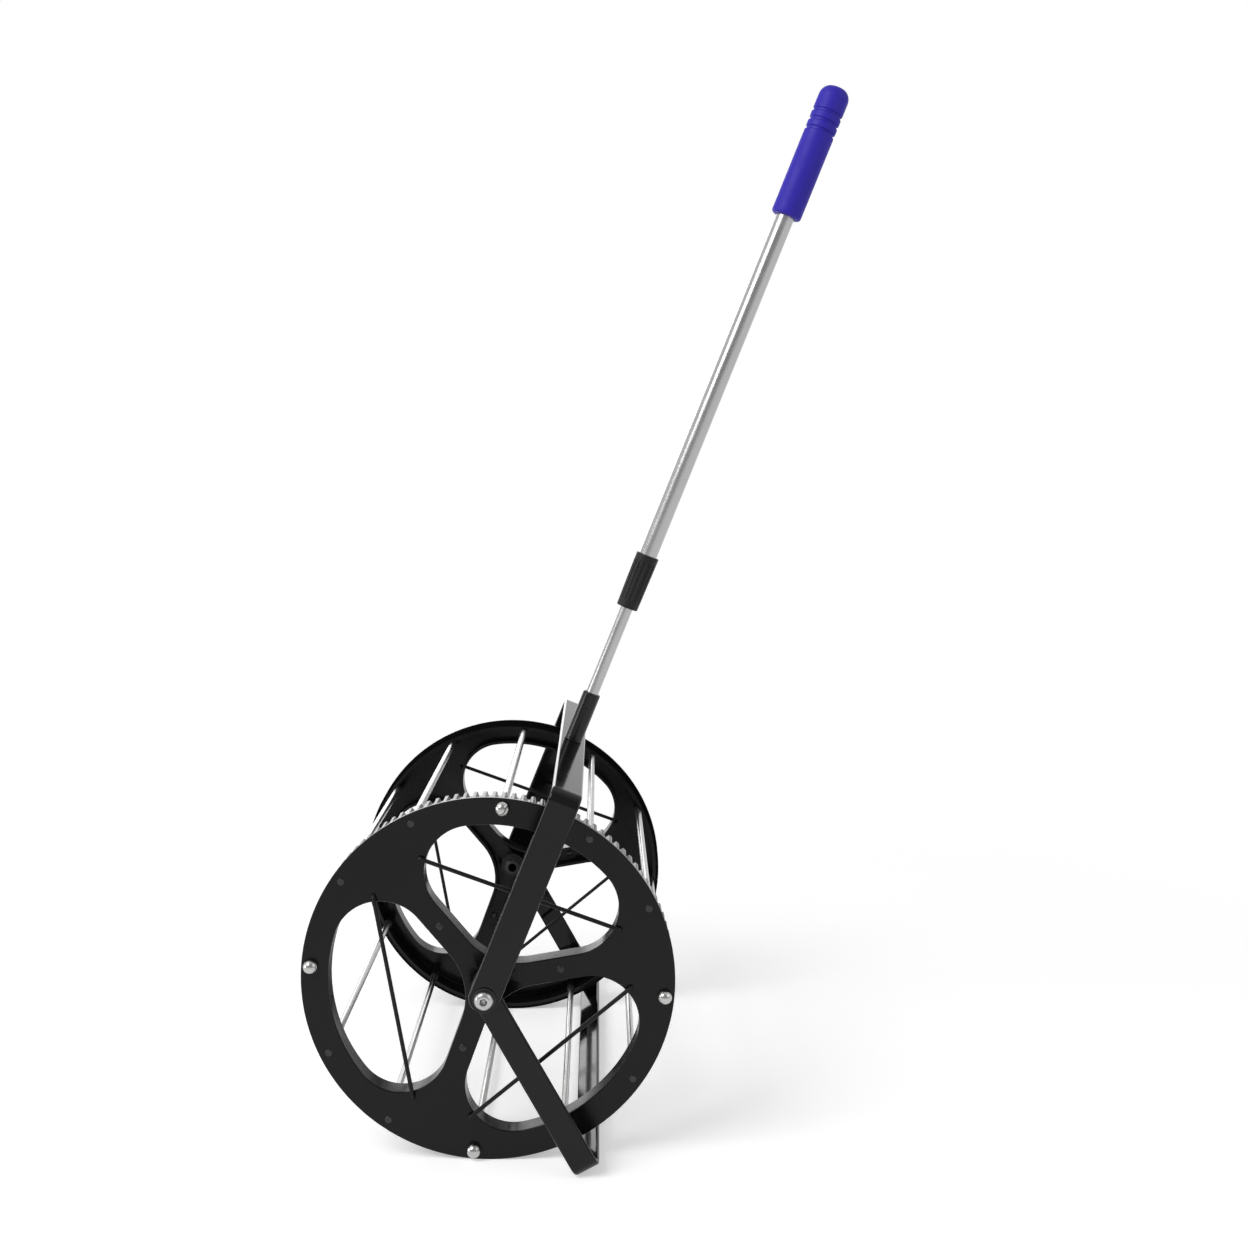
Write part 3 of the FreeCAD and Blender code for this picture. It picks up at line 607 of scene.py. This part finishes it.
def socket_grids():
    """Socket with a rounded mouth, its coat run over both ends of the cross pin."""
    bore, deep, foot_lip, mouth_lip, bore_lip = 5.3 * mm, 6 * mm, 0.4 * mm, 1.2 * mm, 0.4 * mm
    grids = on_handle(rounded([
        (0, socket_start, 0),
        (socket_radius, socket_start, foot_lip),
        (socket_radius, socket_end, mouth_lip),
        (bore, socket_end, bore_lip),
        (bore, socket_end - deep, 0),
        (0, socket_end - deep, 0),
    ], 6))
    pin, rise, lip = 1.7 * mm, 0.3 * mm, 0.25 * mm
    start, end = socket_radius - rise, socket_radius + rise
    cover = rounded([(pin, start, 0), (pin, end, lip), (0, end, 0)])
    place = drum_centre + handle_axis * pin_height
    return grids + [lathe(cover, place, drum_axis * way, sides=24) for way in (1, -1)]


def tube_grids(radius, start, end, foot_lip):
    """Open tube with a softened top edge, and a foot that may be softened too."""
    bore = radius - tube_wall
    return on_handle(rounded([
        (bore, start, 0),
        (radius, start, foot_lip),
        (radius, end, tube_lip),
        (bore, end, 0),
        (bore, start, 0),
    ]))


def collar_grids():
    """Tapered collar whose outside is cut back by fourteen round flutes.

    A flute takes away what lies outside the near side of a cylinder beside the collar:
    its distance in a direction is out * cos - sqrt(rounding^2 - out^2 * sin^2). The
    cut runs out towards a plain band at both ends, as a quarter circle.
    """
    length = collar_end - collar_start
    lower, upper, lip = 9.1 * mm, 9.7 * mm, 0.7 * mm
    mouth, bore, mouth_wall = 5.6 * mm, 7.85 * mm, 3 * mm
    band, run_out = 6 * mm, 1.6 * mm
    count, flute_points, rounding, cut = 14, 16, 1.3 * mm, 0.5 * mm
    outside = rounded([(mouth, 0, 0), (lower, 0, lip), (upper, length, lip),
                       (bore, length, 0)], 6)
    ramp = run_out * (1 - np.cos(np.linspace(0, 1, 9) * math.pi / 2))
    heights = np.concatenate([band + ramp, np.linspace(0.3, 0.7, 5) * length,
                              (length - band - ramp)[::-1]])
    body = np.stack([np.interp(heights, outside[1:-1, 1], outside[1:-1, 0]), heights], -1)
    half = len(outside) // 2
    profile = np.concatenate([outside[:half], body, outside[half:]])

    turns = np.linspace(0, 2 * math.pi, count * flute_points, endpoint=False)
    out = lower - cut + rounding
    pitch = 2 * math.pi / count
    away = ((turns / pitch + 0.5) % 1 - 0.5) * pitch
    inside = rounding ** 2 - (out * np.sin(away)) ** 2
    flute = np.where(inside > 0, out * np.cos(away) - np.sqrt(np.maximum(inside, 0)), upper)
    from_end = np.minimum(profile[:, 1] - band, length - band - profile[:, 1])
    share = np.sqrt(np.clip(1 - (1 - np.clip(from_end / run_out, 0, 1)) ** 2, 0, 1))
    radii = profile[:, :1] - share[:, None] * np.maximum(0, profile[:, :1] - flute)
    hollow = np.array([(bore, length), (bore, mouth_wall), (mouth, mouth_wall), (mouth, 0)])
    radii = np.concatenate([radii, rings(hollow[:, 0], turns)])
    heights = rings(np.concatenate([profile, hollow])[:, 1] + collar_start, turns)
    return [(turned_surface(radii, heights, drum_centre, handle_axis, turns), True)]


def grip_grids():
    """Soft grip: a barrel, three rounded rings and a domed end, with its bore.

    The end is a quarter ellipse round the edge of a small flat.
    """
    length = grip_end - grip_start
    radius, groove, flat, rise = 12.5 * mm, 11.3 * mm, 5 * mm, 9 * mm
    bore, bore_end = 7.55 * mm, 40 * mm
    first_groove, groove_pitch, groove_width = 70 * mm, 7.6 * mm, 2.6 * mm
    bore_lip, foot_lip, shoulder, root = 0.4 * mm, 2.2 * mm, 0.7 * mm, 0.45 * mm
    corners = [(bore, bore_end, 0), (bore, 0, bore_lip), (radius, 0, foot_lip)]
    for low in first_groove + groove_pitch * np.arange(3):
        high = low + groove_width
        corners += [(radius, low, shoulder), (groove, low, root),
                    (groove, high, root), (radius, high, shoulder)]
    corners.append((radius, length - rise, 0))
    turn = np.linspace(0, math.pi / 2, 15)
    dome = [flat, length - rise] + [radius - flat, rise] * round_about(turn)
    profile = np.concatenate([rounded(corners, 5)[:-1], dome, [(0, length)]])
    return on_handle(profile + [0, grip_start])


# Materials

even = (1, 1, 1)
along_axle = (1, 0.02, 1)
along_handle = (1, 1, 0.1)
blur = 0.2 * mm


def add(tree, kind, settings=None, **inputs):
    """Adds a shader node. Inputs are constants or other nodes' outputs, by socket name."""
    made = tree.nodes.new("ShaderNode" + kind)
    for name, value in (settings or {}).items():
        setattr(made, name, value)
    for name, value in inputs.items():
        socket = made.inputs[name.replace("_", " ")]
        if isinstance(value, bpy.types.NodeSocket):
            tree.links.new(value, socket)
        else:
            socket.default_value = value
    return made


def combined(tree, operation, first, second):
    """Two values brought together by a math node, such as MULTIPLY or MAXIMUM."""
    made = add(tree, "Math", {"operation": operation})
    tree.links.new(first, made.inputs[0])
    tree.links.new(second, made.inputs[1])
    return made.outputs[0]


def object_place(tree):
    """Where a point lies in the model's frame, since every piece sits at the origin."""
    return add(tree, "TexCoord").outputs["Object"]


def noise(tree, place, scale, detail, stretch):
    """Noise of a number of waves a metre at a place, drawn out along an axis by its stretch."""
    mapped = add(tree, "Mapping", Vector=place, Scale=stretch)
    return add(tree, "TexNoise", Vector=mapped.outputs["Vector"], Scale=scale,
               Detail=detail, Roughness=0.55).outputs["Fac"]


def ranged(tree, value, low, high, start=0.3, end=0.7):
    """A pattern's value carried from a range to new ends."""
    return add(tree, "MapRange", Value=value, From_Min=start, From_Max=end,
               To_Min=low, To_Max=high).outputs["Result"]


def mixed(tree, share, first, second):
    """Colour between two colours by a pattern."""
    made = add(tree, "Mix", {"data_type": "RGBA"})
    tree.links.new(share, made.inputs["Factor"])
    made.inputs["A"].default_value = (*first, 1)
    made.inputs["B"].default_value = (*second, 1)
    return made.outputs["Result"]


def finish_material(name, colours, roughness, bumps, metallic=0.0, specular=0.5,
                    wear=(6, even), scuffs=(60, even)):
    """A finish from two close colours, a range of roughness and fine bumps.

    Wear and scuffs are each a scale and a stretch for the noise that mixes the colours
    and varies the roughness. A bump is a scale, a stretch and a height.
    """
    material = bpy.data.materials.new(name)
    material.use_nodes = True
    tree = material.node_tree
    shader = tree.nodes["Principled BSDF"]
    place = object_place(tree)
    shader.inputs["Metallic"].default_value = metallic
    shader.inputs["Specular IOR Level"].default_value = specular
    cloud = noise(tree, place, wear[0], 4.0, wear[1])
    tree.links.new(mixed(tree, cloud, *colours), shader.inputs["Base Color"])
    scuff = noise(tree, place, scuffs[0], 5.0, scuffs[1])
    tree.links.new(ranged(tree, scuff, *roughness), shader.inputs["Roughness"])
    normal = None
    for scale, stretch, height in bumps:
        grain = noise(tree, place, scale, 2.0, stretch)
        bump = add(tree, "Bump", Height=grain, Strength=1.0, Distance=height)
        if normal is not None:
            tree.links.new(normal, bump.inputs["Normal"])
        normal = bump.outputs["Normal"]
    tree.links.new(normal, shader.inputs["Normal"])
    return material


def darken_ends(material, past, share):
    """Takes the shine off what lies past a distance along the axle, to either side."""
    tree = material.node_tree
    shader = tree.nodes["Principled BSDF"]
    place = add(tree, "SeparateXYZ", Vector=object_place(tree))
    away = add(tree, "Math", {"operation": "ABSOLUTE"})
    tree.links.new(place.outputs["Y"], away.inputs[0])
    beyond = add(tree, "MapRange", Value=away.outputs[0], From_Min=past, From_Max=past + blur,
                 To_Min=1.0, To_Max=share)
    colour = shader.inputs["Base Color"].links[0].from_socket
    dimmed = add(tree, "VectorMath", {"operation": "SCALE"}, Vector=colour,
                 Scale=beyond.outputs["Result"])
    tree.links.new(dimmed.outputs["Vector"], shader.inputs["Base Color"])
    return material


def dull_tread(material, roughness):
    """Gives the plain tread of the right disc a dull moulded grain.

    It lies on the drum's right half, past the teeth's roots, behind the smooth edge.
    """
    tree = material.node_tree
    shader = tree.nodes["Principled BSDF"]
    place = object_place(tree)
    moved = add(tree, "Mapping", Vector=place, Location=(-drum_centre.x, 0, -drum_centre.z))
    flat = add(tree, "VectorMath", {"operation": "MULTIPLY"}, Vector=moved.outputs["Vector"])
    flat.inputs[1].default_value = (1, 0, 1)
    radius = add(tree, "VectorMath", {"operation": "LENGTH"}, Vector=flat.outputs["Vector"])
    outside = add(tree, "MapRange", Value=radius.outputs["Value"],
                  From_Min=root_radius, From_Max=root_radius + mm)
    axle = add(tree, "SeparateXYZ", Vector=place).outputs["Y"]
    right = add(tree, "MapRange", Value=axle, From_Min=0.0, From_Max=mm)
    edge = half_length - plate_wall
    inner = add(tree, "MapRange", Value=axle, From_Min=edge - blur, From_Max=edge,
                To_Min=1.0, To_Max=0.0)
    share = combined(tree, "MULTIPLY", right.outputs["Result"], inner.outputs["Result"])
    share = combined(tree, "MULTIPLY", outside.outputs["Result"], share)
    dull = add(tree, "MapRange", Value=share, To_Max=roughness)
    tree.links.new(shader.inputs["Roughness"].links[0].from_socket, dull.inputs["To Min"])
    tree.links.new(dull.outputs["Result"], shader.inputs["Roughness"])
    shine = add(tree, "MapRange", Value=share, To_Max=0.0,
                To_Min=shader.inputs["Specular IOR Level"].default_value)
    tree.links.new(shine.outputs["Result"], shader.inputs["Specular IOR Level"])
    return material


materials = {
    "disc_plastic": dull_tread(finish_material(
        "moulded black plastic", [(0.003, 0.003, 0.0033), (0.006, 0.006, 0.0064)],
        (0.16, 0.28), [(900, even, 0.012 * mm), (90, even, 0.06 * mm)], specular=0.2), 0.7),
    "rod_steel": darken_ends(finish_material(
        "drawn steel rod", [(0.44, 0.44, 0.44), (0.58, 0.58, 0.57)],
        (0.20, 0.36), [(1400, along_axle, 0.012 * mm)], metallic=1.0,
        wear=(260, along_axle), scuffs=(700, along_axle)), half_length, 0.1),
    "nut_plate": finish_material(
        "bright plated steel", [(0.42, 0.42, 0.41), (0.55, 0.55, 0.53)],
        (0.16, 0.28), [(1600, even, 0.006 * mm)], metallic=1.0),
    "wire_black": finish_material(
        "black coated wire", [(0.005, 0.005, 0.005), (0.009, 0.009, 0.009)],
        (0.28, 0.42), [(1100, even, 0.015 * mm)], specular=0.2),
    "hub_black": finish_material(
        "satin black hub paint", [(0.008, 0.008, 0.008), (0.013, 0.013, 0.013)],
        (0.35, 0.5), [(1200, even, 0.015 * mm)], specular=0.25),
    "rivet_black": finish_material(
        "blackened rivet", [(0.02, 0.02, 0.02), (0.04, 0.04, 0.04)],
        (0.25, 0.4), [(1500, even, 0.006 * mm)], metallic=0.6),
    "bush_plastic": finish_material(
        "dark bearing plastic", [(0.03, 0.03, 0.032), (0.045, 0.045, 0.047)],
        (0.40, 0.55), [(1200, even, 0.01 * mm)], specular=0.3),
    "bolt_steel": finish_material(
        "zinc plated steel", [(0.42, 0.42, 0.43), (0.55, 0.55, 0.55)],
        (0.24, 0.40), [(1500, even, 0.008 * mm)], metallic=1.0),
    "washer_black": finish_material(
        "blackened washer", [(0.02, 0.02, 0.02), (0.035, 0.035, 0.035)],
        (0.30, 0.45), [(1300, even, 0.008 * mm)], metallic=0.5),
    "bar_black": finish_material(
        "glossy black coat", [(0.003, 0.003, 0.0033), (0.006, 0.006, 0.0064)],
        (0.07, 0.13), [(120, even, 0.04 * mm), (1800, even, 0.002 * mm)], specular=0.25),
    "socket_black": finish_material(
        "black socket coat", [(0.006, 0.006, 0.0065), (0.010, 0.010, 0.0105)],
        (0.14, 0.24), [(800, even, 0.01 * mm)], specular=0.3),
    "tube_steel": finish_material(
        "satin tube", [(0.40, 0.40, 0.41), (0.50, 0.50, 0.50)],
        (0.22, 0.32), [(1500, along_handle, 0.006 * mm)], metallic=1.0),
    "collar_plastic": finish_material(
        "matt black collar", [(0.008, 0.008, 0.008), (0.013, 0.013, 0.013)],
        (0.38, 0.52), [(1400, even, 0.02 * mm)], specular=0.25),
    "inner_plastic": finish_material(
        "grey guide plastic", [(0.10, 0.10, 0.105), (0.14, 0.14, 0.145)],
        (0.4, 0.55), [(1200, even, 0.01 * mm)]),
    "grip_rubber": finish_material(
        "violet blue rubber", [(0.024, 0.014, 0.33), (0.034, 0.021, 0.42)],
        (0.45, 0.62), [(1300, even, 0.035 * mm), (260, even, 0.04 * mm)], specular=0.25),
}

slots = {entry["node"]: entry["material_slot"] for entry in frame["record"]["subparts"]}
for name, cad_node in frame["nodes"].items():
    cad_node.data.materials.clear()
    cad_node.data.materials.append(materials[slots[name]])


# Pieces

def dress(name, node, body, grids):
    """A finished piece for one CAD node, with that node's finish."""
    return new_piece(name, grids, body, node, materials[slots[node]])


half_stand = stand_width / 2
stand_swing = (math.acos(drum_radius / math.hypot(stand_reach, half_stand))
               + math.atan2(half_stand, stand_reach))

for hand, way in (("left", -1), ("right", 1)):
    dress(f"{hand}_spoked_disc", f"{hand}_disc", "drum", disc_grids(way, way < 0))
    dress(f"{hand}_wires", f"{hand}_guard_wires", "drum", wire_grids(way))
    dress(f"{hand}_bolt", f"{hand}_axle_bolt", "yoke", bolt_grids(way))
dress("sprung_rods", "spring_rods", "drum",
      rod_grids(rod_angles[~tie_rod], spring_rod_radius, spring_rod_end, spring_rod_lip))
dress("shouldered_rods", "tie_rods", "drum",
      rod_grids(rod_angles[tie_rod], tie_rod_radius, rim_inner, tie_rod_lip))
dress("dome_nuts", "tie_rod_nuts", "drum", dome_nut_grids())
dress("spoke_rivets", "hub_rivets", "drum", rivet_grids())
dress("washers", "pivot_washers", "yoke", washer_grids())
dress("lock_nuts", "axle_lock_nuts", "yoke", lock_nut_grids())
dress("yoke", "yoke_bar", "yoke",
      bar_grids(yoke_width, yoke_reach, yoke_faces[1], yoke_bend, lean_angle))
dress("stand", "stand_bar", "stand",
      bar_grids(stand_width, stand_reach, stand_faces[1], stand_bend, math.pi - stand_swing))
dress("socket", "handle_socket", "yoke", socket_grids())
dress("inner_tube", "lower_tube", "yoke",
      tube_grids(lower_tube_radius, lower_tube_start, lower_tube_end, 0))
dress("outer_tube", "upper_tube", "upper_handle",
      tube_grids(upper_tube_radius, upper_tube_start, upper_tube_end, tube_lip))
dress("collar", "lock_collar", "twist_collar", collar_grids())
dress("handle_grip", "grip", "upper_handle", grip_grids())


# Floor, light and camera

white = (1, 1, 1, 1)
object_middle = Vector((0, 0, 0.35))


def straight_rays(tree, path):
    """One for rays from the camera and through glass, and nothing for others."""
    return combined(tree, "MAXIMUM", path["Is Camera Ray"], path["Is Transmission Ray"])


def pale_floor():
    """Flat white floor that keeps the object's shadow and fades into the white world.

    Where it is seen, a lift brings its lit colour to white, and away from the object
    it turns plain white.
    """
    reach, grey, lift = 40.0, 0.86, 0.4
    fade_start, fade_end = 0.3, 1.1
    mesh = bpy.data.meshes.new("floor")
    corners = [(-reach, -reach, 0), (reach, -reach, 0), (reach, reach, 0), (-reach, reach, 0)]
    mesh.from_pydata(corners, [], [(0, 1, 2, 3)])
    material = bpy.data.materials.new("pale floor")
    material.use_nodes = True
    tree = material.node_tree
    shader = tree.nodes["Principled BSDF"]
    shader.inputs["Base Color"].default_value = (grey, grey, grey, 1)
    shader.inputs["Roughness"].default_value = 0.9
    shader.inputs["Specular IOR Level"].default_value = 0.0
    path = add(tree, "LightPath").outputs
    seen = combined(tree, "MAXIMUM", straight_rays(tree, path), path["Is Glossy Ray"])
    lifted = add(tree, "Emission", Color=white, Strength=add(
        tree, "MapRange", Value=seen, To_Min=0.0, To_Max=lift).outputs["Result"])
    both = add(tree, "AddShader")
    tree.links.new(shader.outputs[0], both.inputs[0])
    tree.links.new(lifted.outputs[0], both.inputs[1])
    away = add(tree, "VectorMath", {"operation": "LENGTH"}, Vector=object_place(tree))
    fade = add(tree, "MapRange", {"interpolation_type": "SMOOTHSTEP"}, Value=away.outputs["Value"],
               From_Min=fade_start, From_Max=fade_end)
    share = combined(tree, "MULTIPLY", fade.outputs["Result"], seen)
    plain = add(tree, "Emission", Color=white, Strength=1.0)
    result = add(tree, "MixShader", Fac=share)
    tree.links.new(both.outputs[0], result.inputs[1])
    tree.links.new(plain.outputs[0], result.inputs[2])
    tree.links.new(result.outputs[0], tree.nodes["Material Output"].inputs["Surface"])
    mesh.materials.append(material)
    floor = bpy.data.objects.new("floor", mesh)
    bpy.context.scene.collection.objects.link(floor)


def soft_lamp(name, place, size, power):
    """Square lamp that looks at the middle of the object."""
    lamp = bpy.data.lights.new(name, "AREA")
    lamp.shape = "SQUARE"
    lamp.size = size
    lamp.energy = power
    shown = bpy.data.objects.new(name, lamp)
    bpy.context.scene.collection.objects.link(shown)
    shown.location = place
    aim = object_middle - Vector(place)
    shown.rotation_euler = aim.to_track_quat("-Z", "Y").to_euler()


def white_world(light, backdrop, room):
    """White to the camera, and an even light on the object.

    Reflections show a pale backdrop, which falls to the room's level behind the camera.
    """
    world = bpy.data.worlds.new("studio")
    bpy.context.scene.world = world
    world.use_nodes = True
    tree = world.node_tree
    path = add(tree, "LightPath").outputs
    way = add(tree, "SeparateXYZ", Vector=add(tree, "TexCoord").outputs["Generated"])
    mirrored = add(tree, "MapRange", {"interpolation_type": "SMOOTHSTEP"}, Value=way.outputs["Y"],
                   From_Min=-0.6, From_Max=0.2, To_Min=room, To_Max=backdrop)
    unseen = add(tree, "MapRange", Value=path["Is Glossy Ray"], To_Min=light,
                 To_Max=mirrored.outputs["Result"])
    strength = add(tree, "MapRange", Value=straight_rays(tree, path),
                   To_Min=unseen.outputs["Result"], To_Max=1.0)
    shader = tree.nodes["Background"]
    shader.inputs["Color"].default_value = white
    tree.links.new(strength.outputs["Result"], shader.inputs["Strength"])


def set_camera():
    """Camera at the photograph's viewing angle, framed on its round inset."""
    lens = bpy.data.cameras.new("camera")
    lens.sensor_width = 36
    lens.lens = 40.7
    lens.shift_x = 0.0217
    camera = bpy.data.objects.new("camera", lens)
    bpy.context.scene.collection.objects.link(camera)
    pan, look_down, roll = 0.05, 6.464, 0.382
    from_drum = Vector((0.0805, -1.1769, 0.3843))
    camera.matrix_world = (Matrix.Translation(drum_centre + from_drum)
                           @ Matrix.Rotation(math.radians(pan), 4, "Z")
                           @ Matrix.Rotation(math.radians(90 - look_down), 4, "X")
                           @ Matrix.Rotation(math.radians(roll), 4, "Z"))
    bpy.context.scene.camera = camera


pale_floor()
soft_lamp("key_lamp", (-1.8, -1.5, 2.4), size=1.6, power=56)
soft_lamp("fill_lamp", (2.2, -1.2, 1.6), size=1.8, power=12)
soft_lamp("back_lamp", (-0.65, 2.9, 0.95), size=1.6, power=16)
soft_lamp("side_lamp", (-2.7, -0.6, 0.45), size=1.0, power=18)
white_world(light=0.32, backdrop=0.9, room=0.4)
set_camera()
bpy.context.scene.view_settings.view_transform = "Standard"
